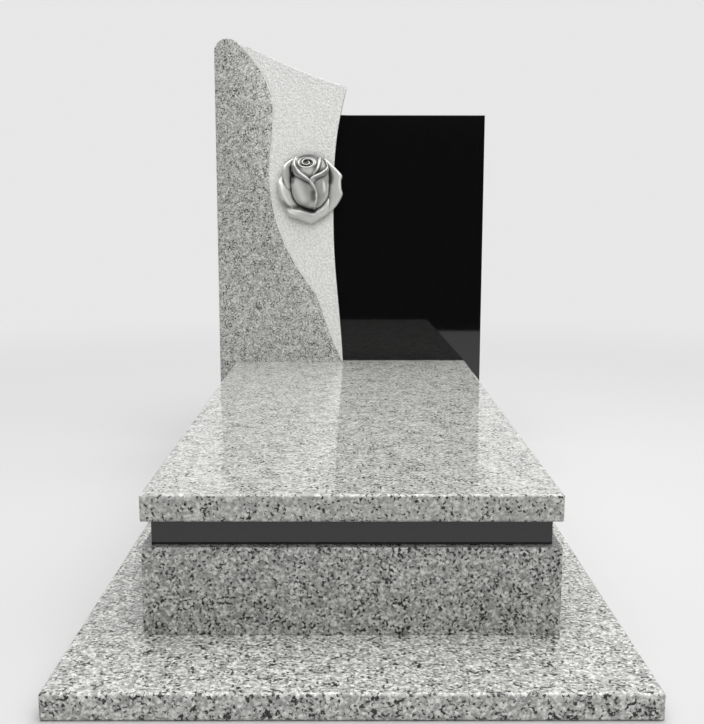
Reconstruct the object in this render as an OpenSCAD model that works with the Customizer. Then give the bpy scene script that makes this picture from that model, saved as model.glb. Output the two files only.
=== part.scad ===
// Single grave monument: a granite base slab, a low tomb body with a dark recessed band, a polished
// ledger, and an upright headstone of a carved granite stele beside a black tablet, with a rose in relief.
// Millimetres, +Z up, the front faces -Y, origin at the middle of the base slab's underside.

/* [Base slab] */
// Width of the base slab
base_w = 1000; // [900:5:1200]
// Length of the base slab, front to back
base_l = 2000; // [1930:5:2400]
// Thickness of the base slab
base_t = 47; // [30:1:120]
// Radius of the base slab's rounded arrises
base_round = 5.5; // [1:0.5:14]

/* [Tomb body] */
// Distance from the base's side to the body's side
side_margin = 124; // [90:2:180]
// Height of the tomb body's panels
body_h = 165; // [80:5:300]
// Distance from the base's front face to the body's front face
front_margin = 218; // [100:2:260]
// Thickness of the body's panels
panel_t = 60; // [40:5:90]
// Radius of the body's arrises
body_round = 1.5; // [1:0.5:8]

/* [Dark band] */
// Height of the dark band
band_h = 47; // [20:1:100]
// How far the band is set back from the body's faces
band_recess = 16; // [4:1:30]
// Thickness of the band's strips
band_t = 40; // [20:1:60]
// Radius of the band's arrises
band_round = 1.5; // [0.5:0.5:5]

/* [Ledger] */
// How far the ledger stands past the body at the front and sides
ledger_overhang = 1; // [0.5:0.5:30]
// Length of the ledger from its front face to the tablet
ledger_l = 1552; // [1400:2:1580]
// Thickness of the ledger
ledger_t = 50; // [30:1:100]
// Radius of the ledger's rounded arrises
ledger_round = 5; // [1:0.5:14]

/* [Tablet] */
// How far the headstone stands past the body on each side
headstone_overhang = 52; // [20:1:80]
// Height of the tablet's top above the ledger
tablet_h = 792; // [760:2:860]
// Thickness of the tablet
tablet_t = 80; // [50:1:110]
// How far the tablet reaches in behind the stele's waist
tablet_lap = 45; // [20:1:80]
// Radius of the tablet's arrises
tablet_round = 2; // [0.5:0.5:6]

/* [Stele] */
// How far the stele's face stands in front of the tablet's face
stele_proud = 44; // [25:1:60]
// Height of the top edge above the ledger, at the outer side before the corner is rounded
stele_h = 1044; // [980:2:1100]
// Radius of the outer top corner
stele_corner = 42; // [10:1:80]
// Radius of the stele's outer upright arrises
stele_round = 5; // [1:0.5:12]
// Height of the inner tip above the ledger
tip_h = 876; // [850:2:920]
// Distance from the outer side to the inner tip
tip_w = 413; // [390:1:440]
// Distance from the outer side to the inner edge at its waist
waist_w = 371; // [350:1:385]
// Distance from the outer side to the inner edge at its foot
foot_w = 401; // [386:1:420]
// Height of the waist above the ledger
waist_h = 460; // [380:5:500]
// Sag of the top edge below a straight line
top_sag = 10; // [2:1:25]

/* [Tooled field] */
// Depth of the tooled field below the polished face
field_depth = 3; // [1:0.5:6]
// Distance from the outer side to the field's edge at the stele's top
field_top_w = 70; // [60:1:100]
// Distance from the outer side to the field's edge at its crest
field_crest_w = 181; // [150:1:200]
// Height of that crest above the ledger
field_crest_h = 809; // [780:1:830]
// Distance from the outer side to the field's edge at its hollow
field_hollow_w = 167; // [140:1:180]
// Height of that hollow above the ledger
field_hollow_h = 608; // [560:2:650]
// Distance from the outer side to the field's edge at its knee
field_knee_w = 317; // [260:1:340]
// Height of that knee above the ledger
field_knee_h = 217; // [160:1:260]

/* [Rose] */
// Width of the rose
rose_w = 209; // [120:1:230]
// Height of the rose
rose_h = 219; // [120:1:240]
// How far the bud stands out from the field
rose_depth = 56; // [30:1:80]
// Distance from the stele's outer side to the rose's middle
rose_in = 297; // [280:1:310]
// Height of the rose's middle above the ledger
rose_up = 559; // [500:1:600]

/* [Hidden] */
$fn = 48;
granite = "#a9a9a6";
dark_granite = "#2b2c2e";
black_granite = "#0b0b0d";
satin_grey = "#8f908f";

// Levels and faces of the stack, from the ground up and from front to back
body_z = base_t;
band_z = body_z + body_h;
ledger_z = band_z + band_h;
ledger_top = ledger_z + ledger_t;
body_y = front_margin - base_l / 2;
ledger_y = body_y - ledger_overhang;
tablet_y = ledger_y + ledger_l;
stele_y = tablet_y - stele_proud;
headstone_back = tablet_y + tablet_t;
headstone_z = base_t;
body_w = base_w - 2 * side_margin;
headstone_half = body_w / 2 + headstone_overhang;
ledger_w = body_w + 2 * ledger_overhang;
band_w = body_w - 2 * band_recess;
stele_x = -headstone_half;
tablet_x = stele_x + waist_w - tablet_lap;
tablet_top = ledger_top + tablet_h;
field_y = stele_y + field_depth;
over = 1;

// Rectangle from the origin with each corner rounded, as flat sides and true arcs
module round_rect(w, h, r) {
    translate([r, 0]) square([w - 2 * r, h]);
    translate([0, r]) square([w, h - 2 * r]);
    for (x = [r, w - r], y = [r, h - r]) translate([x, y]) circle(r);
}

// Sawn slab with every arris rounded to one radius
module slab(w, l, t, r) {
    intersection() {
        linear_extrude(t) round_rect(w, l, r);
        translate([0, l, 0]) rotate([90, 0, 0]) linear_extrude(l) round_rect(w, t, r);
        rotate([90, 0, 90]) linear_extrude(w) round_rect(l, t, r);
    }
}

// Point on a Bezier curve of any degree
function bezier(pts, t) = len(pts) == 1 ? pts[0]
    : bezier([for (i = [0 : len(pts) - 2]) pts[i] + (pts[i + 1] - pts[i]) * t], t);
function curve(pts, steps) = [for (i = [0 : steps]) bezier(pts, i / steps)];

// Stele outline in the upright plane, x from its outer side and y from the ground
tip = [tip_w, ledger_top + tip_h];
shoulder = [0, ledger_top + stele_h];
waist = [waist_w, ledger_top + waist_h];
foot = [foot_w, ledger_top];
top_turn_share = 0.7;
top_turn = shoulder + (tip - shoulder) * top_turn_share - [0, 2 * top_sag];
top_dir = (top_turn - shoulder) / norm(top_turn - shoulder);
corner_turn = 90 - asin(top_dir[1]);
corner_set = stele_corner * tan(corner_turn / 2);
corner_mid = [stele_corner, shoulder[1] - corner_set];
upper_share = 0.4;
upper_pull = (tip[1] - waist[1]) * upper_share;
lower_share = 0.38;
lower_pull = waist_h * lower_share;
foot_flare = 8;

stele_outline = concat(
    [[0, headstone_z]],
    [for (i = [0 : 8]) let (a = 180 - i * corner_turn / 8) corner_mid + stele_corner * [cos(a), sin(a)]],
    curve([shoulder + top_dir * corner_set, top_turn, tip], 12),
    curve([tip, tip - [upper_pull / 4, upper_pull], waist + [0, upper_pull], waist], 14),
    curve([waist, waist - [0, lower_pull], foot + [-foot_flare, lower_pull], foot], 12),
    [[foot_w, headstone_z]]);

// Edge between the polished face and the tooled field, from the top edge down to the foot
field_start = shoulder + top_dir * field_top_w;
field_crest = [field_crest_w, ledger_top + field_crest_h];
field_hollow = [field_hollow_w, ledger_top + field_hollow_h];
field_knee = [field_knee_w, ledger_top + field_knee_h];
start_dir = [50, -42];
crest_dir = [0, 80];
hollow_dir = [0, 70];
slope_dir = [0, 189];
slope_end = [-60, 80];
knee_dir = [20, -58];
foot_dir = [-40, 75];

field_edge = concat(
    [field_start - start_dir],
    curve([field_start, field_start + start_dir, field_crest + crest_dir, field_crest], 12),
    curve([field_crest, field_crest - crest_dir, field_hollow + hollow_dir, field_hollow], 8),
    curve([field_hollow, field_hollow - slope_dir, field_knee + slope_end, field_knee], 14),
    curve([field_knee, field_knee + knee_dir, foot + foot_dir, foot], 8));

module base_slab() {
    color(granite) translate([-base_w / 2, -base_l / 2, 0]) slab(base_w, base_l, base_t, base_round);
}

// The front panel runs the full width, and the side panels butt against its back
module body_front() {
    color(granite) translate([-body_w / 2, body_y, body_z]) slab(body_w, panel_t, body_h, body_round);
}

module body_left() {
    color(granite) translate([-body_w / 2, body_y + panel_t, body_z])
        slab(panel_t, stele_y - body_y - panel_t, body_h, body_round);
}

module body_right() {
    color(granite) translate([body_w / 2 - panel_t, body_y + panel_t, body_z])
        slab(panel_t, tablet_y - body_y - panel_t, body_h, body_round);
}

module band_front() {
    color(dark_granite) translate([-band_w / 2, body_y + band_recess, band_z])
        slab(band_w, band_t, band_h, band_round);
}

module band_left() {
    color(dark_granite) translate([-band_w / 2, body_y + band_recess + band_t, band_z])
        slab(band_t, stele_y - body_y - band_recess - band_t, band_h, band_round);
}

module band_right() {
    color(dark_granite) translate([band_w / 2 - band_t, body_y + band_recess + band_t, band_z])
        slab(band_t, tablet_y - body_y - band_recess - band_t, band_h, band_round);
}

// The ledger butts the tablet and is notched round the stele's foot
module ledger() {
    color(granite) difference() {
        translate([-ledger_w / 2, ledger_y, ledger_z]) slab(ledger_w, ledger_l, ledger_t, ledger_round);
        translate([stele_x, stele_y, ledger_z - over])
            cube([foot_w, stele_proud + over, ledger_t + 2 * over]);
    }
}

// Carved stele: a curved outline cut through the slab, a tooled field and a housing for the tablet's end
module stele() {
    color(granite) difference() {
        intersection() {
            translate([stele_x, headstone_back, 0]) rotate([90, 0, 0])
                linear_extrude(headstone_back - stele_y) polygon(stele_outline);
            translate([stele_x, stele_y, 0]) linear_extrude(2 * ledger_top + stele_h)
                round_rect(2 * headstone_half, headstone_back - stele_y, stele_round);
        }
        translate([stele_x, field_y, 0]) rotate([90, 0, 0]) linear_extrude(field_depth + over)
            polygon(concat(field_edge, [[2 * tip_w, ledger_top], [2 * tip_w, shoulder[1]]]));
        translate([tablet_x, tablet_y, 0]) cube([2 * headstone_half, tablet_t + over, tablet_top]);
    }
}

module tablet() {
    color(black_granite) translate([tablet_x, tablet_y, headstone_z])
        slab(headstone_half - tablet_x, tablet_t, tablet_top - headstone_z, tablet_round);
}

// Rose in relief, drawn in millimetres in its own plane, x to the right, y up and z out of the field,
// and then set to its width, height and depth

// Smooth curve through a few points, at a share of its run
function through(pts, t) =
    let (n = len(pts) - 1, i = min(n - 1, floor(t * n)), f = t * n - i,
         a = pts[max(0, i - 1)], b = pts[i], c = pts[i + 1], d = pts[min(n, i + 2)])
    b + f / 2 * (c - a + f * (2 * a - 5 * b + 4 * c - d + f * (3 * (b - c) + d - a)));
function between(a, b, share) = a + (b - a) * share;
function ease(t) = let (c = max(0, min(1, t))) c * c * (3 - 2 * c);
function backwards(list) = [for (i = [len(list) - 1 : -1 : 0]) list[i]];

// Point part of the way from one point to another, with its own share of the rise
function bent(a, b, share, lift) =
    let (p = between(a, b, share)) [p[0], p[1], between(a[2], b[2], lift)];

// Solid through closed loops of equal length, with flat ends
module loft(loops) {
    n = len(loops[0]);
    last = (len(loops) - 1) * n;
    polyhedron([for (loop = loops, p = loop) p], concat(
        [[for (j = [0 : n - 1]) n - 1 - j]],
        [for (i = [0 : len(loops) - 2], j = [0 : n - 1], k = [0, 1])
            let (c = i * n + j, d = i * n + (j + 1) % n)
            k == 0 ? [c, d, d + n] : [c, d + n, c + n]],
        [[for (j = [0 : n - 1]) last + j]]));
}

// Loop of surface points, closed down to the back of the rose
function grounded(pts) =
    let (first = pts[0], end = pts[len(pts) - 1])
    concat(pts, [[end[0], end[1], 0], [first[0], first[1], 0]]);

// Outer petal on three curves, clockwise round the rose: a cupped face rises from the foot to the crest,
// and the crest rolls over and down to the edge
rise = [0, 0.25, 0.5, 0.7, 0.85, 0.95];
roll = [0, 0.3, 0.58, 0.8, 0.94, 1];
cup_power = 1.5;
module outer_petal(foot, crest, edge, steps = 20) {
    loft([for (i = [0 : steps])
        let (t = i / steps, f = through(foot, t), c = through(crest, t), e = through(edge, t))
        grounded(concat([for (s = rise) bent(f, c, s, pow(sin(90 * s), cup_power))],
                        [for (s = roll) bent(e, c, 1 - s, sqrt(1 - s * s))]))]);
}

module upper_left_petal() {
    outer_petal([[-57, -8, 4], [-55, 6, 5], [-55, 25, 5], [-55, 44, 5], [-55, 62, 5], [-51, 77, 5],
                 [-47, 90, 4]],
                [[-62, -11, 6], [-71, 4, 18], [-77, 26, 26], [-80, 44, 29], [-80, 61, 29], [-72, 78, 24],
                 [-50, 93, 8]],
                [[-65, -13, 4], [-78, 7, 8], [-84, 27, 9], [-87, 44, 9], [-87, 62, 9], [-79, 80, 8],
                 [-53, 96, 4]]);
}

module lower_left_petal() {
    outer_petal([[-16, -46, 4], [-36, -41, 5], [-48, -27, 5], [-54, -8, 5], [-61, 9, 6], [-69, 26, 6],
                 [-72, 40, 4]],
                [[-22, -54, 5], [-50, -57, 14], [-66, -45, 22], [-81, -19, 27], [-91, 6, 26], [-95, 26, 18],
                 [-79, 43, 5]],
                [[-24, -58, 3], [-52, -64, 5], [-72, -57, 6], [-92, -35, 7], [-102, -6, 7], [-103, 26, 6],
                 [-84, 47, 3]]);
}

// The bottom petal comes to a point in the middle
module bottom_petal() {
    outer_petal([[56, -20, 4], [51, -32, 6], [38, -46, 7], [25, -55, 7], [11, -61, 7], [-8, -58, 7],
                 [-28, -51, 7], [-48, -48, 6], [-62, -45, 4]],
                [[60, -24, 6], [59, -44, 14], [48, -62, 16], [28, -74, 18], [9, -82, 22], [-12, -76, 20],
                 [-34, -74, 23], [-57, -66, 24], [-71, -54, 10]],
                [[62, -28, 3], [62, -60, 4], [58, -77, 4], [36, -92, 4], [5, -108, 4], [-16, -103, 4],
                 [-40, -94, 4], [-67, -86, 5], [-77, -60, 4]], 32);
}

// The right petal's edge is wavy
module right_outer_petal() {
    outer_petal([[36, 92, 4], [43, 84, 6], [51, 71, 7], [56, 51, 7], [58, 27, 7], [58, 0, 7], [56, -27, 7],
                 [53, -50, 6], [52, -66, 4]],
                [[40, 96, 6], [54, 85, 13], [72, 66, 17], [93, 44, 18], [93, 25, 17], [94, 0, 18],
                 [97, -20, 18], [80, -48, 14], [59, -70, 6]],
                [[43, 99, 3], [57, 88, 6], [77, 69, 7], [102, 41, 7], [99, 24, 7], [100, -2, 7],
                 [104, -19, 7], [86, -51, 6], [64, -73, 3]], 32);
}

// Bud petal through stations that give its lip's x, y and z, its rim's x and y, and its fold's width and
// height: a rounded body rises from the rim, a fold stands on it, and the lip turns over inwards
body_run = [0, 0.03, 0.09, 0.18, 0.31, 0.48, 0.67, 0.85, 1];
fold_run = [[0, 0.66], [0.1, 0.8], [0.4, 0.88], [0.7, 1]];
lip_turn = [[0, 0.94], [1.3, 0.62], [2.3, 0], [2.8, -1]];
body_power = 2.4;
body_root = 0.55;
petal_bulge = 0.07;
pocket = [-54, 42];
pocket_r = 10;
pocket_depth = 22;
rim_t = 3;
fold_limit = 0.8;

function body_z(station, reach, share) =
    station[2] * pow(1 - pow(1 - min(1, share), body_power), body_root)
    + petal_bulge * reach * sin(180 * share);

function bud_row(station) =
    let (lip = [station[0], station[1]],
         rim = [station[3], station[4]],
         reach = norm(rim - lip),
         fold_w = min(station[5], fold_limit * reach),
         inwards = (lip - rim) / reach)
    concat(
        [for (s = body_run)
            let (share = s * (1 - fold_w / reach),
                 p = between(rim, lip, share),
                 dent = pocket_depth * exp(-pow(norm(p - pocket) / pocket_r, 2)))
            [p[0], p[1], max(rim_t, body_z(station, reach, share) - dent)]],
        [for (f = fold_run)
            let (share = 1 - (1 - f[0]) * fold_w / reach, p = between(rim, lip, share))
            [p[0], p[1], max(rim_t, body_z(station, reach, share) + station[6] * f[1])]],
        [for (f = lip_turn)
            let (p = lip + inwards * f[0])
            [p[0], p[1], max(rim_t, station[2] + station[6] * f[1])]]);

module right_bud_petal(steps = 36) {
    stations = [[37, 97, 10, 47, 94, 3, 4], [51, 82, 25, 58, 75, 5, 5.5], [55, 64, 30, 62, 54, 9, 7],
                [38, 50, 38, 63, 29, 15, 7], [15, 39, 44, 62, 2, 15, 7], [2, 26, 45, 58, -27, 14, 5],
                [7, 5, 42, 45, -46, 5, 2], [12, -26, 42, 32, -57, 4, 2], [9, -60, 9, 21, -64, 4, 2]];
    loft([for (i = [0 : steps]) grounded(backwards(bud_row(through(stations, i / steps))))]);
}

module left_bud_petal(steps = 40) {
    stations = [[-43, 98, 11, -53, 94, 3, 4.5], [-47, 77, 27, -60, 70, 9, 7],
                [-32, 54, 39, -62, 40, 21, 8], [-9, 35, 48, -61, 10, 16, 8], [10, 16, 49, -57, -20, 7, 5],
                [21, -6, 46, -46, -41, 5, 3], [23, -28, 46, -29, -54, 5, 3], [19, -52, 41, -10, -61, 5, 3],
                [14, -67, 8, 2, -64, 4, 2]];
    loft([for (i = [0 : steps]) grounded(bud_row(through(stations, i / steps)))]);
}

// Heart: the rolled middle of the bud, an oval that leans towards the viewer
heart = [-7.5, 79.5];
heart_r = 28;
heart_squash = 0.62;
heart_top = 40;
heart_tilt = 0.6;
heart_turns = 1.7;
heart_start = 175;
heart_end = 0.18;
function heart_at(r, a) = r * [cos(a), heart_squash * sin(a)];

// Inner petals: a cup inside the heart's rim, and outside it a drop to a throat that runs under the lips.
// A cup ring gives a share of the rim's radius and a depth; a throat ring gives a distance from the rim,
// a share of the throat's run and a depth.
cup_rings = [[0.12, 11], [0.72, 10], [0.9, 4]];
throat_rings = [[0.6, 0, 4], [1.6, 0, 6], [3, 0, 10], [3, 0.35, 11], [3, 0.7, 11], [3, 1, 11]];
throat_end = throat_rings[len(throat_rings) - 1];
throat_run = 20;
throat_right = 8;
throat_front = 36;
throat_back = -9;
throat_t = 2;
throat_drop = 0.3;
throat_fall = 0.22;
throat_back_fall = 1.4;
rim_drop = 4;
module throat(around = 36) {
    turns = [for (j = [0 : around - 1]) 360 * j / around];
    function front(a) = pow(max(0, -sin(a)), 2);
    function back(a) = pow(max(0, sin(a)), 2);
    function run(a) = throat_run + throat_right * cos(a) + throat_front * front(a) + throat_back * back(a);
    function drop(a) = throat_drop + pow(cos(a), 2);
    function fall(a) = throat_fall + throat_back_fall * back(a);
    function beyond(a, ring) = heart_at(heart_r + ring[0] + ring[1] * run(a), a);
    loft(concat(
        [for (k = cup_rings) [for (a = turns)
            let (q = heart_at(k[0] * heart_r, a))
            [heart[0] + q[0], heart[1] + q[1], heart_top - heart_tilt * q[1] - k[1]]]],
        [for (k = throat_rings) [for (a = turns)
            let (p = heart_at(heart_r, a), q = beyond(a, k), sunk = max(rim_drop, drop(a) * k[2]))
            [heart[0] + q[0], heart[1] + q[1],
             max(throat_t, heart_top - heart_tilt * p[1] - sunk - fall(a) * norm(q - p))]]],
        [[for (a = turns) let (q = beyond(a, throat_end)) [heart[0] + q[0], heart[1] + q[1], 0]]]));
}

// Spiral ridge that winds in from the heart's rim
ridge = [[1.25, -7], [1, -1.6], [0.6, -0.4], [-0.6, -0.4], [-1, -2], [-1.2, -7]];
ridge_half = 2.3;
ridge_thinning = 0.2;
ridge_crown = 1.5;
ridge_start = 6;
ridge_start_run = 0.08;
module heart_spiral(steps = 72) {
    loft([for (i = [0 : steps])
        let (t = i / steps,
             q = heart_at(heart_r * between(1, heart_end, t), heart_start + 360 * heart_turns * t),
             away = q / norm(q) * ridge_half * (1 - ridge_thinning * t),
             start = ridge_start * (1 - ease(t / ridge_start_run)),
             top = heart_top - heart_tilt * q[1] + ridge_crown * sin(180 * t) - start)
        grounded([for (c = ridge)
            [heart[0] + q[0] + c[0] * away[0], heart[1] + q[1] + c[0] * away[1], top + c[1]]])]);
}

// Edge of the inner petal on the right, between the heart and the lip
module inner_petal() {
    outer_petal([[26, 96, 18], [26, 84, 30], [23, 70, 36], [17, 57, 40], [5, 39, 38]],
                [[30, 97, 22], [30, 84, 36], [28, 71, 43], [22, 57, 47], [7, 37, 41]],
                [[35, 98, 16], [37, 84, 27], [34, 69, 35], [27, 55, 41], [9, 35, 38]], 14);
}

module rose_relief() {
    upper_left_petal();
    lower_left_petal();
    bottom_petal();
    right_outer_petal();
    throat();
    heart_spiral();
    inner_petal();
    right_bud_petal();
    left_bud_petal();
}

module rose() {
    color(satin_grey) translate([stele_x + rose_in, field_y, ledger_top + rose_up]) rotate([90, 0, 0])
        resize([rose_w, rose_h, rose_depth]) rose_relief();
}

base_slab();
body_front();
body_left();
body_right();
band_front();
band_left();
band_right();
ledger();
stele();
tablet();
rose();
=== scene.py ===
import math

import bmesh
import bpy
from mathutils import Matrix, Vector


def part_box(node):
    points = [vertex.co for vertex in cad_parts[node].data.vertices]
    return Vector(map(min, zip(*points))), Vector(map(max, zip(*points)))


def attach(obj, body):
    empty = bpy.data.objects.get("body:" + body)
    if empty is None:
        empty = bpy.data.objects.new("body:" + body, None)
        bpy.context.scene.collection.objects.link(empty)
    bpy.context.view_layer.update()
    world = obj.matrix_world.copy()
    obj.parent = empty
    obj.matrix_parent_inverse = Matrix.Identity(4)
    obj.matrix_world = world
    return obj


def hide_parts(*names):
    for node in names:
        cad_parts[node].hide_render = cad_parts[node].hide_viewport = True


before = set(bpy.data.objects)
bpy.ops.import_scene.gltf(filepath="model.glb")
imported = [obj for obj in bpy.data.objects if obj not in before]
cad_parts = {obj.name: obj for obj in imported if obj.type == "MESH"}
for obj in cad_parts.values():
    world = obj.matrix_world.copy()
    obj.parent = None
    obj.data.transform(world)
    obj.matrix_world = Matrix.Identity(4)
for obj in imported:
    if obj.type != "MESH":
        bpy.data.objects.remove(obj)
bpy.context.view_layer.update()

# Base slab: one pale grey granite slab that carries the whole monument. It is sawn, its arrises
# are rounded and its top and edges are polished; it lies flat on the ground.


def new_group(name, inputs, outputs, kind="ShaderNodeTree"):
    tree = bpy.data.node_groups.new(name, kind)
    for label, socket, value in inputs:
        given = tree.interface.new_socket(label, in_out="INPUT", socket_type=socket)
        if value is not None:
            given.default_value = value
    for label, socket in outputs:
        tree.interface.new_socket(label, in_out="OUTPUT", socket_type=socket)
    return tree, tree.nodes.new("NodeGroupInput").outputs, tree.nodes.new("NodeGroupOutput").inputs


# a socket takes another node's output as a link and anything else as its own value
def feed(tree, socket, value):
    if isinstance(value, bpy.types.NodeSocket):
        tree.links.new(value, socket)
    elif value is not None:
        socket.default_value = value


def source_of(socket):
    return socket.links[0].from_socket


def math_node(tree, operation, a, b=None, c=None):
    node = tree.nodes.new("ShaderNodeMath")
    node.operation = operation
    for socket, value in zip(node.inputs, (a, b, c)):
        feed(tree, socket, value)
    return node.outputs[0]


def vector_node(tree, operation, a, b=None, c=None, scale=None):
    node = tree.nodes.new("ShaderNodeVectorMath")
    node.operation = operation
    for socket, value in zip(node.inputs, (a, b, c, scale)):
        feed(tree, socket, value)
    return node.outputs["Value" if operation in ("DOT_PRODUCT", "LENGTH") else "Vector"]


def separate(tree, vector, kind="ShaderNodeSeparateXYZ"):
    node = tree.nodes.new(kind)
    tree.links.new(vector, node.inputs[0])
    return node.outputs


def mix_colour(tree, share, a, b):
    node = tree.nodes.new("ShaderNodeMix")
    node.data_type = "RGBA"
    for socket, value in zip((node.inputs[0], node.inputs[6], node.inputs[7]), (share, a, b)):
        feed(tree, socket, value)
    return node.outputs[2]


def step_between(tree, value, low, high):
    node = tree.nodes.new("ShaderNodeMapRange")
    node.interpolation_type = "SMOOTHSTEP"
    tree.links.new(value, node.inputs[0])
    node.inputs[1].default_value = low
    node.inputs[2].default_value = high
    return node.outputs[0]


def texture(tree, kind, place, scale, **settings):
    node = tree.nodes.new(kind)
    tree.links.new(place, node.inputs["Vector"])
    node.inputs["Scale"].default_value = scale
    for label, value in settings.items():
        node.inputs[label].default_value = value
    return node


# Crystals of granite: soft pale feldspar and grey quartz with greyer rims, and dark mica that gathers
# in loose clusters with a grey halo round them; all scales count in grains
granite, given, out = new_group(
    "Granite crystals",
    [("Position", "NodeSocketVector", (0, 0, 0)), ("Grain", "NodeSocketFloat", 0.006),
     ("Pale", "NodeSocketColor", (0.52, 0.52, 0.51, 1)), ("Grey", "NodeSocketColor", (0.27, 0.27, 0.26, 1)),
     ("Dark", "NodeSocketColor", (0.02, 0.02, 0.02, 1)), ("Mica", "NodeSocketFloat", 0.0)],
    [("Colour", "NodeSocketColor"), ("Mica mask", "NodeSocketFloat"), ("Height", "NodeSocketFloat")])
bend_depth = 1.2
pale_at_rim = 0.55
halo_loss = 0.6
in_grains = vector_node(granite, "DIVIDE", given["Position"], given["Grain"])
warp = texture(granite, "ShaderNodeTexNoise", in_grains, 1.1, Detail=2).outputs["Color"]
bent = vector_node(granite, "MULTIPLY_ADD", warp, (bend_depth, bend_depth, bend_depth), in_grains)
crystals = texture(granite, "ShaderNodeTexVoronoi", bent, 1.0)
crystals.feature = "SMOOTH_F1"
crystals.inputs["Smoothness"].default_value = 0.8
crystal = separate(granite, crystals.outputs["Color"], "ShaderNodeSeparateColor")[0]
fine = texture(granite, "ShaderNodeTexNoise", in_grains, 1.2, Detail=3).outputs["Fac"]
veil = texture(granite, "ShaderNodeTexNoise", in_grains, 0.22, Detail=2).outputs["Fac"]
flecks = texture(granite, "ShaderNodeTexNoise", bent, 0.95, Detail=1.5).outputs["Fac"]
crowd = math_node(granite, "ADD", math_node(granite, "MULTIPLY_ADD", veil, 0.45, flecks), given["Mica"])
halo = step_between(granite, crowd, 0.70, 0.88)
mica = step_between(granite, crowd, 0.84, 0.91)
pale_share = step_between(granite, math_node(granite, "MULTIPLY_ADD", fine, 1.2, crystal), 0.5, 1.6)
rims = texture(granite, "ShaderNodeTexVoronoi", bent, 0.42)
rims.feature = "DISTANCE_TO_EDGE"
rim = step_between(granite, rims.outputs["Distance"], 0.0, 0.16)
for kept in (math_node(granite, "MULTIPLY_ADD", rim, 1 - pale_at_rim, pale_at_rim),
             math_node(granite, "MULTIPLY_ADD", halo, -halo_loss, 1.0)):
    pale_share = math_node(granite, "MULTIPLY", pale_share, kept)
ground = mix_colour(granite, pale_share, given["Grey"], given["Pale"])
granite.links.new(mix_colour(granite, mica, ground, given["Dark"]), out["Colour"])
granite.links.new(mica, out["Mica mask"])
granite.links.new(math_node(granite, "SUBTRACT", pale_share, mica), out["Height"])


def new_material(name):
    material = bpy.data.materials.new(name)
    material.use_nodes = True
    tree = material.node_tree
    return material, tree, tree.nodes["Principled BSDF"], tree.nodes.new("ShaderNodeTexCoord").outputs["Object"]


def add_bump(tree, shader, height, strength, distance, under=None):
    bump = tree.nodes.new("ShaderNodeBump")
    for label, value in (("Height", height), ("Strength", strength), ("Distance", distance), ("Normal", under)):
        feed(tree, bump.inputs[label], value)
    tree.links.new(bump.outputs[0], shader.inputs["Normal"])


def polished_granite(name, grain, pale, grey, dark, mica, roughness, ior=1.52):
    material, tree, shader, place = new_material(name)
    stone = tree.nodes.new("ShaderNodeGroup")
    stone.node_tree = granite
    tree.links.new(place, stone.inputs["Position"])
    stone.inputs["Grain"].default_value = grain
    stone.inputs["Mica"].default_value = mica
    for label, tone in (("Pale", pale), ("Grey", grey), ("Dark", dark)):
        stone.inputs[label].default_value = (tone, tone * 1.01, tone * 0.965, 1)
    mica_roughness = 0.08
    tree.links.new(stone.outputs["Colour"], shader.inputs["Base Color"])
    tree.links.new(math_node(tree, "MULTIPLY_ADD", stone.outputs["Mica mask"], mica_roughness, roughness),
                   shader.inputs["Roughness"])
    add_bump(tree, shader, stone.outputs["Height"], strength=0.04, distance=0.0004)
    shader.inputs["IOR"].default_value = ior
    return material


def dress(node, material):
    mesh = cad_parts[node].data
    mesh.materials.clear()
    mesh.materials.append(material)


dress("base_slab", polished_granite("base granite", grain=0.0054, pale=0.70, grey=0.23, dark=0.006,
                                    mica=0.035, roughness=0.2))

# Tomb body: three upright granite panels on the base, the front one across the full width and the
# side ones butted against its back. They are polished on the outside; their tops, which lie in the
# shade below the ledger, are darkened with painted shade.
body_granite = polished_granite("body granite", grain=0.0054, pale=0.64, grey=0.19, dark=0.006,
                                mica=0.045, roughness=0.1)
# painted shade: faces turned upwards are mixed towards near black, for the shade under the ledger
painted_shade_tone = (0.03, 0.03, 0.03, 1)
painted_shade_share = 0.55
tree = body_granite.node_tree
base_colour = tree.nodes["Principled BSDF"].inputs["Base Color"]
facing = separate(tree, tree.nodes.new("ShaderNodeNewGeometry").outputs["True Normal"])
painted_shade_on_tops = math_node(tree, "MULTIPLY", step_between(tree, facing["Z"], 0.3, 0.9), painted_shade_share)
tree.links.new(mix_colour(tree, painted_shade_on_tops, source_of(base_colour), painted_shade_tone), base_colour)
for panel in ("body_front", "body_left", "body_right"):
    dress(panel, body_granite)

# Dark band: black granite strips set back between the panels and the ledger. They are mirror
# polished, so they show the pale floor in front of the grave.

# Black granite: nearly even, with a scatter of fine crystals that catch a little light
glints, given, out = new_group(
    "Black granite glints",
    [("Position", "NodeSocketVector", (0, 0, 0)), ("Spacing", "NodeSocketFloat", 0.0024),
     ("Ground", "NodeSocketColor", (0.006, 0.006, 0.0066, 1)),
     ("Crystal", "NodeSocketColor", (0.018, 0.018, 0.019, 1))],
    [("Colour", "NodeSocketColor"), ("Glint", "NodeSocketFloat")])
in_spacings = vector_node(glints, "DIVIDE", given["Position"], given["Spacing"])
specks = texture(glints, "ShaderNodeTexVoronoi", in_spacings, 1.0)
pick = separate(glints, specks.outputs["Color"], "ShaderNodeSeparateColor")[0]
glint = step_between(glints, pick, 0.93, 1.0)
glints.links.new(mix_colour(glints, glint, given["Ground"], given["Crystal"]), out["Colour"])
glints.links.new(glint, out["Glint"])


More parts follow.
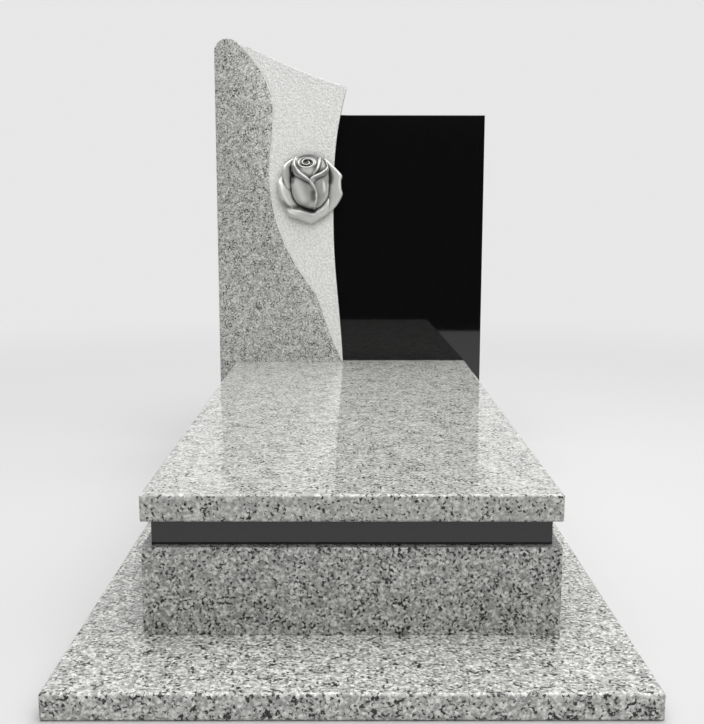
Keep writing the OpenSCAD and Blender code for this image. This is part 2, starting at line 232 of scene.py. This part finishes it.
def black_granite(name, tone, roughness, ior):
    material, tree, shader, place = new_material(name)
    stone = tree.nodes.new("ShaderNodeGroup")
    stone.node_tree = glints
    tree.links.new(place, stone.inputs["Position"])
    stone.inputs["Ground"].default_value = (tone, tone, tone * 1.1, 1)
    stone.inputs["Crystal"].default_value = (tone * 3, tone * 3, tone * 3.2, 1)
    glint_roughness = 0.05
    tree.links.new(stone.outputs["Colour"], shader.inputs["Base Color"])
    tree.links.new(math_node(tree, "MULTIPLY_ADD", stone.outputs["Glint"], glint_roughness, roughness),
                   shader.inputs["Roughness"])
    add_bump(tree, shader, stone.outputs["Glint"], strength=0.01, distance=0.0002)
    shader.inputs["IOR"].default_value = ior
    return material


band_granite = black_granite("band granite", tone=0.006, roughness=0.04, ior=1.62)
for strip in ("band_front", "band_left", "band_right"):
    dress(strip, band_granite)

# Ledger: the granite cover slab, laid on the band and cut out round the stele's foot. Its top is
# polished to a mirror, so that the headstone shows in it.
dress("ledger", polished_granite("ledger granite", grain=0.0054, pale=0.64, grey=0.27, dark=0.01,
                                 mica=0.02, roughness=0.06, ior=1.42))

# Stele: the taller left half of the headstone, granite sawn to a curved outline and polished. The field
# on the right and the inner edge beside the tablet are bush-hammered, which leaves them pale and matt,
# and round the rose the field is darkened with a painted shadow.
stele_granite = polished_granite("stele granite", grain=0.0044, pale=0.76, grey=0.29, dark=0.05,
                                 mica=0.03, roughness=0.1)
hammered_dark, hammered_pale = (0.60, 0.60, 0.585, 1), (0.90, 0.90, 0.88, 1)
painted_shadow_tone = (0.42, 0.42, 0.405, 1)
matt = 0.75
tree = stele_granite.node_tree
shader = tree.nodes["Principled BSDF"]
place = tree.nodes["Texture Coordinate"].outputs["Object"]
facing = separate(tree, tree.nodes.new("ShaderNodeNewGeometry").outputs["True Normal"])
stele_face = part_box("stele")[0].y
behind_face = step_between(tree, separate(tree, place)["Y"], stele_face + 0.0015, stele_face + 0.002)
forward = math_node(tree, "LESS_THAN", facing["Y"], -0.5)
inner_edge = math_node(tree, "GREATER_THAN", facing["X"], 0.75)
field = math_node(tree, "MULTIPLY", behind_face, math_node(tree, "MAXIMUM", forward, inner_edge))
mottle = texture(tree, "ShaderNodeTexNoise", place, 190, Detail=4).outputs["Fac"]
hammered = mix_colour(tree, step_between(tree, mottle, 0.25, 0.75), hammered_dark, hammered_pale)
# painted shadow of the rose: the field is darkened within an oval round it, fading out between 0.75 and 1.2 of
# its half size
rose_low, rose_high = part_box("rose")
rose_half = (rose_high - rose_low) / 2
from_rose = vector_node(tree, "SUBTRACT", place, (rose_low + rose_high) / 2)
in_halves = vector_node(tree, "MULTIPLY", from_rose, (1 / rose_half.x, 0, 1 / rose_half.z))
outside_painted_shadow = step_between(tree, vector_node(tree, "LENGTH", in_halves), 0.75, 1.2)
hammered = mix_colour(tree, outside_painted_shadow, painted_shadow_tone, hammered)
base_colour, roughness = shader.inputs["Base Color"], shader.inputs["Roughness"]
tree.links.new(mix_colour(tree, field, source_of(base_colour), hammered), base_colour)
tree.links.new(math_node(tree, "MULTIPLY_ADD", field, matt, source_of(roughness)), roughness)
add_bump(tree, shader, mottle, strength=math_node(tree, "MULTIPLY", field, 0.5), distance=0.001,
         under=source_of(shader.inputs["Normal"]))


def new_object(name, data):
    made = bpy.data.objects.new(name, data)
    bpy.context.scene.collection.objects.link(made)
    return made


def merged_copy(node, name):
    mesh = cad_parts[node].data.copy()
    mesh.name = name
    mesh.materials.clear()
    clean = bmesh.new()
    clean.from_mesh(mesh)
    bmesh.ops.remove_doubles(clean, verts=clean.verts, dist=1e-6)
    return mesh, clean


# the modifiers' result becomes the piece's own mesh
def made_plain(piece):
    view = bpy.context.evaluated_depsgraph_get()
    plain = bpy.data.meshes.new_from_object(piece.evaluated_get(view), depsgraph=view)
    piece.modifiers.clear()
    piece.data = plain
    return plain


# the arrises along the sawn outline are eased, and the step down to the field a little less
stele_arris = 0.0015
step_arris_share = 0.5
step_height = 0.004
sharp_angle = math.radians(35)
flat_angle = math.radians(0.5)
stele_mesh, stone = merged_copy("stele", "stele stone")
bmesh.ops.dissolve_limit(stone, angle_limit=flat_angle, verts=stone.verts, edges=stone.edges)
field_face = max((face for face in stone.faces if face.normal.y < -0.99
                  and face.calc_center_median().y > stele_face + 0.001), key=lambda face: face.calc_area())
field_rim = [loop.vert.co.copy() for loop in field_face.loops]
arris = stone.edges.layers.float.new("bevel_weight_edge")
for edge in stone.edges:
    if edge.is_manifold and edge.is_convex and edge.calc_face_angle() > sharp_angle:
        on_step = any(max(v.co.y for v in face.verts) - min(v.co.y for v in face.verts) < step_height
                      and abs(face.normal.y) < 0.5 for face in edge.link_faces)
        edge[arris] = step_arris_share if on_step else 1
for face in stone.faces:
    face.smooth = True
stone.to_mesh(stele_mesh)
stone.free()
stele_mesh.materials.append(stele_granite)
stele = new_object("stele_stone", stele_mesh)
ease = stele.modifiers.new("eased arrises", "BEVEL")
ease.width = stele_arris
ease.segments = 3
ease.limit_method = "WEIGHT"
ease.harden_normals = True
made_plain(stele)
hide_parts("stele")
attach(stele, "root")

# the field's bush-hammered skin spans from its carved edge on the left to the stele's outline on the right
skin_rows, skin_columns = 560, 110
skin_margin = 0.01
blow_pitch, blow_depth, blow_seed = 0.006, 0.0009, 3.0
foot = min(range(len(field_rim)), key=lambda i: field_rim[i].z)
field_rim = field_rim[foot:] + field_rim[:foot]
crown = max(range(len(field_rim)), key=lambda i: field_rim[i].z)
rim_sides = sorted((field_rim[:crown + 1], field_rim[:1] + field_rim[:crown - 1:-1]),
                   key=lambda side: sum(point.x for point in side) / len(side))
edge_rows = []
for name, side in zip(("field left edge", "field right edge"), rim_sides):
    points = []
    for row in range(skin_rows):
        level = side[0].z + (side[-1].z - side[0].z) * row / (skin_rows - 1)
        low, high = next(pair for pair in zip(side, side[1:]) if level <= pair[1].z or pair[1] is side[-1])
        share = (level - low.z) / (high.z - low.z) if high.z > low.z else 1
        points.append(low.lerp(high, min(1, share)))
    edge_mesh = bpy.data.meshes.new(name)
    edge_mesh.from_pydata(points, [], [])
    edge_rows.append(new_object(name, edge_mesh))

# a grid is ruled between the two edges and each blow leaves a dent, shallower towards the border
hammer, given, out = new_group(
    "Hammered skin",
    [("Left edge", "NodeSocketObject", None), ("Right edge", "NodeSocketObject", None),
     ("Rows", "NodeSocketInt", skin_rows), ("Columns", "NodeSocketInt", skin_columns),
     ("Margin", "NodeSocketFloat", skin_margin), ("Pitch", "NodeSocketFloat", blow_pitch),
     ("Depth", "NodeSocketFloat", blow_depth), ("Seed", "NodeSocketFloat", blow_seed),
     ("Material", "NodeSocketMaterial", None)],
    [("Geometry", "NodeSocketGeometry")], "GeometryNodeTree")
proud_of_stone = 0.0001
sheet = hammer.nodes.new("GeometryNodeMeshGrid")
hammer.links.new(given["Columns"], sheet.inputs["Vertices X"])
hammer.links.new(given["Rows"], sheet.inputs["Vertices Y"])
position = hammer.nodes.new("GeometryNodeInputPosition").outputs[0]
on_sheet = separate(hammer, position)
inset = math_node(hammer, "MULTIPLY_ADD", given["Margin"], -2.0, 1.0)
across = math_node(hammer, "MULTIPLY_ADD", on_sheet["X"], inset, 0.5)
along = math_node(hammer, "ADD", on_sheet["Y"], 0.5)
last_row = math_node(hammer, "SUBTRACT", given["Rows"], 1.0)
row = math_node(hammer, "ROUND", math_node(hammer, "MULTIPLY", along, last_row))
ruled = hammer.nodes.new("ShaderNodeMix")
ruled.data_type = "VECTOR"
hammer.links.new(across, ruled.inputs[0])
for label, socket in (("Left edge", ruled.inputs[4]), ("Right edge", ruled.inputs[5])):
    edge_object = hammer.nodes.new("GeometryNodeObjectInfo")
    hammer.links.new(given[label], edge_object.inputs["Object"])
    sample = hammer.nodes.new("GeometryNodeSampleIndex")
    sample.data_type = "FLOAT_VECTOR"
    hammer.links.new(edge_object.outputs["Geometry"], sample.inputs["Geometry"])
    hammer.links.new(position, sample.inputs["Value"])
    hammer.links.new(row, sample.inputs["Index"])
    hammer.links.new(sample.outputs["Value"], socket)
on_field = ruled.outputs[1]
blows = hammer.nodes.new("ShaderNodeTexVoronoi")
blows.voronoi_dimensions = "4D"
hammer.links.new(on_field, blows.inputs["Vector"])
hammer.links.new(given["Seed"], blows.inputs["W"])
hammer.links.new(math_node(hammer, "DIVIDE", 1.0, given["Pitch"]), blows.inputs["Scale"])
crests = step_between(hammer, blows.outputs["Distance"], 0.1, 0.8)
off_middle = math_node(hammer, "MAXIMUM", math_node(hammer, "ABSOLUTE", on_sheet["X"]),
                       math_node(hammer, "ABSOLUTE", on_sheet["Y"]))
inside = step_between(hammer, math_node(hammer, "SUBTRACT", 0.5, off_middle), 0.0, 0.02)
raised = math_node(hammer, "MULTIPLY", math_node(hammer, "MULTIPLY", crests, inside), given["Depth"])
outwards = hammer.nodes.new("ShaderNodeCombineXYZ")
hammer.links.new(math_node(hammer, "MULTIPLY_ADD", raised, -1.0, -proud_of_stone), outwards.inputs["Y"])
placed = hammer.nodes.new("GeometryNodeSetPosition")
hammer.links.new(sheet.outputs["Mesh"], placed.inputs["Geometry"])
hammer.links.new(on_field, placed.inputs["Position"])
hammer.links.new(outwards.outputs[0], placed.inputs["Offset"])
smooth = hammer.nodes.new("GeometryNodeSetShadeSmooth")
hammer.links.new(placed.outputs[0], smooth.inputs[0])


def close_tree(tree, geometry, material, out):
    real = tree.nodes.new("GeometryNodeRealizeInstances")
    tree.links.new(geometry, real.inputs[0])
    made_of = tree.nodes.new("GeometryNodeSetMaterial")
    tree.links.new(real.outputs[0], made_of.inputs["Geometry"])
    tree.links.new(material, made_of.inputs["Material"])
    tree.links.new(made_of.outputs[0], out)


def run_tree(piece, label, tree, settings):
    modifier = piece.modifiers.new(label, "NODES")
    modifier.node_group = tree
    for item in tree.interface.items_tree:
        if item.in_out == "INPUT" and item.name in settings:
            modifier[item.identifier] = settings[item.name]
    return made_plain(piece)


close_tree(hammer, smooth.outputs[0], given["Material"], out["Geometry"])
field_skin = new_object("stele_field", bpy.data.meshes.new("stele field"))
run_tree(field_skin, "hammered skin", hammer,
         {"Left edge": edge_rows[0], "Right edge": edge_rows[1], "Rows": skin_rows, "Columns": skin_columns,
          "Margin": skin_margin, "Pitch": blow_pitch, "Depth": blow_depth, "Seed": blow_seed,
          "Material": stele_granite})
for edge_points in edge_rows:
    bpy.data.objects.remove(edge_points)
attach(field_skin, "root")

# Tablet: the right half of the headstone, a black granite slab let into the stele's back edge and
# mirror polished. It leans back a hair, which its shading alone shows; no inscription has been cut.
tablet_granite = black_granite("tablet granite", tone=0.0025, roughness=0.03, ior=1.66)
tablet_lean = math.radians(0.75)
tree = tablet_granite.node_tree
normal = tree.nodes.new("ShaderNodeNewGeometry").outputs["Normal"]
leaning = vector_node(tree, "NORMALIZE", vector_node(tree, "ADD", normal, (0, 0, math.tan(tablet_lean))))
tree.links.new(leaning, tree.nodes["Bump"].inputs["Normal"])
dress("tablet", tablet_granite)

# Rose: a relief cast in light metal and pinned to the stele's field. Its lips are rubbed bright and
# carry a painted highlight, its folds and swells carry a painted highlight, and a dark patina stays in
# the grooves, deepened by painted shade there and along the sinks; its upward faces carry painted shade.
voxel = 0.0012
fold_height, fold_reach, fold_end_lift = 0.0014, 0.007, 0.006
sink_reach, painted_highlight_reach = 0.014, 0.026
crest_sweeps, hollow_sweeps = 8, 140
rose_mesh, casting = merged_copy("rose", "rose cast")
casting.to_mesh(rose_mesh)
casting.free()
rose = new_object("rose_cast", rose_mesh)
remesh = rose.modifiers.new("even skin", "REMESH")
remesh.mode = "VOXEL"
remesh.voxel_size = voxel
remesh.use_smooth_shade = True
soften = rose.modifiers.new("soften", "SMOOTH")
soften.factor = 0.5
soften.iterations = 4

# low folds that run over the petals, sinks between them and pale swells, which are only painted
# highlights, as lines seen from the front: x and z of each point; the folds also carry a painted
# highlight and the sinks a painted shade
fold_lines = (
    ((-0.2235, 0.8751), (-0.2190, 0.8604), (-0.2108, 0.8421), (-0.1998, 0.8237), (-0.1868, 0.8108)),
    ((-0.0878, 0.8946), (-0.0854, 0.8801), (-0.0842, 0.8656), (-0.0855, 0.8510)),
    ((-0.2028, 0.9478), (-0.2085, 0.9369), (-0.2114, 0.9206)),
    ((-0.0429, 0.9210), (-0.0345, 0.9082), (-0.0373, 0.8917), (-0.0364, 0.8734), (-0.0318, 0.8551)),
    ((-0.2042, 0.8019), (-0.1940, 0.7938), (-0.1792, 0.7892), (-0.1605, 0.7865)))
sink_lines = (
    ((-0.1868, 0.9315), (-0.1841, 0.9097), (-0.1872, 0.8914)),
    ((-0.0697, 0.9171), (-0.0623, 0.9025), (-0.0651, 0.8897)),
    ((-0.1626, 0.9685), (-0.1441, 0.9721), (-0.1257, 0.9721), (-0.1091, 0.9676)),
    ((-0.1198, 0.8546), (-0.1193, 0.8364)),
    ((-0.1566, 0.8090), (-0.1380, 0.8025), (-0.1194, 0.7998)),
    ((-0.2155, 0.8227), (-0.2025, 0.8126), (-0.1867, 0.8080), (-0.1680, 0.8089)),
    ((-0.1793, 0.9324), (-0.1730, 0.9161), (-0.1547, 0.9017), (-0.1346, 0.8881)),
    ((-0.0766, 0.9190), (-0.0922, 0.9072), (-0.1098, 0.8982)))
painted_highlight_lines = (
    ((-0.1714, 0.8834), (-0.1637, 0.8602), (-0.1529, 0.8354)),
    ((-0.1495, 0.9269), (-0.1322, 0.9208)))
heart = (-0.1386, 0, 0.949)


def line_drawing(name, lines, end_lift=0.0):
    edges = []
    for line in lines:
        start = edges[-1][1] + 1 if edges else 0
        edges += [(start + i, start + i + 1) for i in range(len(line) - 1)]
    mesh = bpy.data.meshes.new(name)
    mesh.from_pydata([(x, end_lift if i in (0, len(line) - 1) else 0, z)
                      for line in lines for i, (x, z) in enumerate(line)], edges, [])
    return new_object(name, mesh)


# a fold's ends lie off the petals' plane, so that the fold runs out there
drawings = {"Folds": line_drawing("fold lines", fold_lines, fold_end_lift),
            "Sinks": line_drawing("sink lines", sink_lines),
            "Painted highlights": line_drawing("swell lines", painted_highlight_lines)}

# the tree raises the folds, presses in the sinks and keeps the skin in the casting's box; it stores how near
# each point is to the lines and how far it stands out, closely for the crests and widely for the hollows
finish, given, out = new_group(
    "Casting finish",
    [("Geometry", "NodeSocketGeometry", None), ("Folds", "NodeSocketObject", None),
     ("Sinks", "NodeSocketObject", None), ("Painted highlights", "NodeSocketObject", None),
     ("Fold height", "NodeSocketFloat", fold_height), ("Fold reach", "NodeSocketFloat", fold_reach),
     ("Sink reach", "NodeSocketFloat", sink_reach), ("Painted highlight reach", "NodeSocketFloat", painted_highlight_reach),
     ("Low corner", "NodeSocketVector", None), ("High corner", "NodeSocketVector", None),
     ("Crest sweeps", "NodeSocketInt", crest_sweeps), ("Hollow sweeps", "NodeSocketInt", hollow_sweeps),
     ("Material", "NodeSocketMaterial", None)],
    [("Geometry", "NodeSocketGeometry")], "GeometryNodeTree")
millimetres = 1000.0
position = finish.nodes.new("GeometryNodeInputPosition").outputs[0]
normal = finish.nodes.new("GeometryNodeInputNormal").outputs[0]
seen_from_front = vector_node(finish, "MULTIPLY", position, (1, 0, 1))


def stored(tree, skin, label, value):
    store = tree.nodes.new("GeometryNodeStoreNamedAttribute")
    store.inputs["Name"].default_value = label
    tree.links.new(skin, store.inputs["Geometry"])
    tree.links.new(value, store.inputs["Value"])
    return store.outputs["Geometry"]


near = {}
skin = given["Geometry"]
for kind in ("Fold", "Sink", "Painted highlight"):
    lines = finish.nodes.new("GeometryNodeObjectInfo")
    finish.links.new(given[kind + "s"], lines.inputs["Object"])
    nearest = finish.nodes.new("GeometryNodeProximity")
    nearest.target_element = "EDGES"
    finish.links.new(lines.outputs["Geometry"], nearest.inputs[0])
    finish.links.new(seen_from_front, nearest.inputs["Sample Position"])
    share = math_node(finish, "DIVIDE", nearest.outputs["Distance"], given[kind + " reach"])
    near[kind] = math_node(finish, "SUBTRACT", 1.0, step_between(finish, share, 0.0, 1.0))
    skin = stored(finish, skin, kind.lower(), near[kind])
lift = math_node(finish, "MULTIPLY", math_node(finish, "SUBTRACT", near["Fold"], near["Sink"]),
                 given["Fold height"])
raised = finish.nodes.new("GeometryNodeSetPosition")
finish.links.new(skin, raised.inputs["Geometry"])
finish.links.new(vector_node(finish, "SCALE", normal, scale=lift), raised.inputs["Offset"])
below_top = vector_node(finish, "MINIMUM", position, given["High corner"])
boxed = finish.nodes.new("GeometryNodeSetPosition")
finish.links.new(raised.outputs[0], boxed.inputs["Geometry"])
finish.links.new(vector_node(finish, "MAXIMUM", below_top, given["Low corner"]), boxed.inputs["Position"])
skin = boxed.outputs[0]
for kind in ("Crest", "Hollow"):
    levelled = finish.nodes.new("GeometryNodeBlurAttribute")
    levelled.data_type = "FLOAT_VECTOR"
    finish.links.new(position, levelled.inputs["Value"])
    finish.links.new(given[kind + " sweeps"], levelled.inputs["Iterations"])
    offset = vector_node(finish, "SUBTRACT", position, levelled.outputs["Value"])
    stands_out = vector_node(finish, "DOT_PRODUCT", offset, normal)
    skin = stored(finish, skin, kind.lower(), math_node(finish, "MULTIPLY", stands_out, millimetres))
close_tree(finish, skin, given["Material"], out["Geometry"])


def metal_grey(tone):
    return (tone, tone * 1.01, tone * 0.97, 1)


# the bud is darker than the outer petals; over both lie patina and painted shade in the grooves and
# sinks, painted light on the bulges, painted highlights on the swells and folds, rubbed wear with
# painted highlight on the crests, and painted shade on the upward faces
rose_metal, tree, shader, place = new_material("rose metal")
wear_and_painted_light = {}
for label in ("crest", "hollow", "fold", "sink", "painted highlight"):
    attribute = tree.nodes.new("ShaderNodeAttribute")
    attribute.attribute_name = label
    wear_and_painted_light[label] = attribute.outputs["Fac"]
facing = separate(tree, tree.nodes.new("ShaderNodeNewGeometry").outputs["Normal"])
outer = step_between(tree, separate(tree, place)["Y"], rose_low.y + 0.022, rose_low.y + 0.038)
from_heart = vector_node(tree, "MULTIPLY", vector_node(tree, "SUBTRACT", place, heart), (1, 0, 1))
open_petals = step_between(tree, vector_node(tree, "LENGTH", from_heart), 0.02, 0.045)
# patina in the grooves and painted shade over the broad hollows and along the sinks: where this share is low
# the metal goes near black; the heart keeps a little of the lighter tone and the swells more
clear = math_node(tree, "MULTIPLY", step_between(tree, wear_and_painted_light["hollow"], -3.6, 0.6),
                  math_node(tree, "MULTIPLY_ADD", wear_and_painted_light["sink"], -0.58, 1.0))
clear = math_node(tree, "MAXIMUM", clear, math_node(tree, "MULTIPLY_ADD", open_petals, -0.3, 0.3))
# painted highlight: the swells lighten the petals towards a pale grey, less where a sink lies
painted_highlight_share = math_node(tree, "MULTIPLY", wear_and_painted_light["painted highlight"], math_node(tree, "MULTIPLY_ADD", wear_and_painted_light["sink"], -1.0, 1.0))
clear = math_node(tree, "MAXIMUM", clear, math_node(tree, "MULTIPLY", painted_highlight_share, 0.7))
# painted light and shade: where the casting stands out the bud is lighter, where it lies back darker
painted_bulge_light = step_between(tree, wear_and_painted_light["hollow"], -0.5, 3.0)
# painted shade: faces turned upwards are darkened towards black
painted_top_shade = math_node(tree, "MULTIPLY", step_between(tree, facing["Z"], 0.35, 0.95), 0.8)
# rubbed wear with painted highlight on the crests, kept off faces turned downwards and weaker near the heart,
# and painted highlight along the fold lines, both towards a pale grey
rubbed_and_painted_highlight = math_node(tree, "MULTIPLY", step_between(tree, wear_and_painted_light["crest"], 0.16, 0.5),
                   math_node(tree, "MULTIPLY_ADD", open_petals, 0.6, 0.35))
rubbed_and_painted_highlight = math_node(tree, "MULTIPLY", rubbed_and_painted_highlight, step_between(tree, facing["Z"], -0.3, 0.15))
rubbed_and_painted_highlight = math_node(tree, "MAXIMUM", rubbed_and_painted_highlight, math_node(tree, "MULTIPLY", wear_and_painted_light["fold"], 0.9))
tone = mix_colour(tree, painted_bulge_light, metal_grey(0.33), metal_grey(0.56))
tone = mix_colour(tree, painted_highlight_share, tone, metal_grey(0.76))
tone = mix_colour(tree, outer, tone, metal_grey(0.68))
tone = mix_colour(tree, clear, metal_grey(0.03), tone)
tone = mix_colour(tree, rubbed_and_painted_highlight, tone, metal_grey(0.90))
tone = mix_colour(tree, painted_top_shade, tone, metal_grey(0.0))
tree.links.new(tone, shader.inputs["Base Color"])
shader.inputs["Metallic"].default_value = 0.3
cast = texture(tree, "ShaderNodeTexNoise", place, 400).outputs["Fac"]
tree.links.new(math_node(tree, "MULTIPLY_ADD", cast, 0.1, 0.34), shader.inputs["Roughness"])
add_bump(tree, shader, cast, strength=0.06, distance=0.0004)

skin = run_tree(rose, "casting finish", finish,
                {**drawings, "Fold height": fold_height, "Fold reach": fold_reach, "Sink reach": sink_reach,
                 "Painted highlight reach": painted_highlight_reach, "Low corner": rose_low, "High corner": rose_high,
                 "Crest sweeps": crest_sweeps, "Hollow sweeps": hollow_sweeps, "Material": rose_metal})
for drawing in drawings.values():
    bpy.data.objects.remove(drawing)
for polygon in skin.polygons:
    polygon.use_smooth = True
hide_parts("rose")
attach(rose, "root")

# Studio: a pale floor that runs back into a pale backdrop, a broad soft light overhead and a little to
# the front, and a dark room behind the camera, which is what the black tablet mirrors.
backdrop_tone = 0.80
floor_tone = 0.53
floor_front, floor_back, floor_side = -3.34, 14.0, 14.0
floor_drop = 0.0005
sweep_from, sweep_to = 1.6, 5.0
floor_mesh = bpy.data.meshes.new("floor")
floor_mesh.from_pydata([(-floor_side, floor_front, 0), (floor_side, floor_front, 0),
                        (floor_side, floor_back, 0), (-floor_side, floor_back, 0)], [], [(0, 1, 2, 3)])
floor = new_object("floor", floor_mesh)
floor.location.z = -floor_drop
paper, tree, shader, place = new_material("paper")
shader.inputs["Base Color"].default_value = (floor_tone, floor_tone, floor_tone, 1)
shader.inputs["Roughness"].default_value = 1
shader.inputs["Specular IOR Level"].default_value = 0
glow = tree.nodes.new("ShaderNodeEmission")
glow.inputs["Color"].default_value = (backdrop_tone, backdrop_tone, backdrop_tone, 1)
sweep = tree.nodes.new("ShaderNodeMixShader")
tree.links.new(step_between(tree, vector_node(tree, "LENGTH", place), sweep_from, sweep_to), sweep.inputs[0])
tree.links.new(shader.outputs[0], sweep.inputs[1])
tree.links.new(glow.outputs[0], sweep.inputs[2])
tree.links.new(sweep.outputs[0], tree.nodes["Material Output"].inputs["Surface"])
floor_mesh.materials.append(paper)

# the backdrop shows to the camera and in mirrors in full, and lights the stones only a little
room_tone = 0.03
backdrop_light = 0.1
soft_light_aim = Vector((0.14, -0.26, 0.95)).normalized()
soft_light_level = 2.2
world = bpy.data.worlds.new("studio")
bpy.context.scene.world = world
world.use_nodes = True
tree = world.node_tree
sky = tree.nodes["Background"]
direction = tree.nodes.new("ShaderNodeTexCoord").outputs["Generated"]
rearward = step_between(tree, separate(tree, direction)["Y"], -0.7, 0.1)
level = math_node(tree, "MULTIPLY_ADD", rearward, backdrop_tone - room_tone, room_tone)
soft_light = step_between(tree, vector_node(tree, "DOT_PRODUCT", direction, soft_light_aim), 0.35, 0.95)
path = tree.nodes.new("ShaderNodeLightPath").outputs
mirrored = math_node(tree, "MAXIMUM", path["Is Glossy Ray"], path["Is Transmission Ray"])
level = math_node(tree, "MULTIPLY", level,
                  math_node(tree, "MULTIPLY_ADD", mirrored, 1 - backdrop_light, backdrop_light))
room = math_node(tree, "MULTIPLY_ADD", soft_light, soft_light_level, level)
strength = tree.nodes.new("ShaderNodeMix")
tree.links.new(path["Is Camera Ray"], strength.inputs[0])
tree.links.new(room, strength.inputs[2])
strength.inputs[3].default_value = backdrop_tone
tree.links.new(strength.outputs[0], sky.inputs["Strength"])
sky.inputs["Color"].default_value = (1, 1, 1, 1)

softbox_width, softbox_depth = 2.4, 1.6
for name, watts, lamp_place, target in (("overhead softbox", 44, (0.35, 0.3, 3.2), (0.2, 0.3, 0)),
                                        ("front softbox", 8, (0, -2.4, 3.6), (0, 0.2, 0.5))):
    lamp_data = bpy.data.lights.new(name, "AREA")
    lamp_data.shape = "RECTANGLE"
    lamp_data.size = softbox_width
    lamp_data.size_y = softbox_depth
    lamp_data.energy = watts
    lamp = new_object(name, lamp_data)
    lamp.location = lamp_place
    lamp.rotation_euler = (Vector(target) - lamp.location).to_track_quat("-Z", "Y").to_euler()

# Camera: a normal lens a little above the tablet's middle, nearly square to the grave's front and
# tipped down towards the ledger.
image_height = 724
focal_pixels = 986.473
sensor = 36
eye = (-0.0048, -2.4654, 0.8116)
turn, tip_down, roll = -0.152, 8.947, 0.056
camera_data = bpy.data.cameras.new("camera")
camera_data.lens = focal_pixels / image_height * sensor
camera_data.sensor_width = sensor
camera_data.clip_end = 100
camera = new_object("camera", camera_data)
camera.matrix_world = (Matrix.Translation(eye)
                       @ Matrix.Rotation(math.radians(turn), 4, "Z")
                       @ Matrix.Rotation(math.radians(90 - tip_down), 4, "X")
                       @ Matrix.Rotation(math.radians(roll), 4, "Z"))
bpy.context.scene.camera = camera
bpy.context.scene.view_settings.view_transform = "Standard"
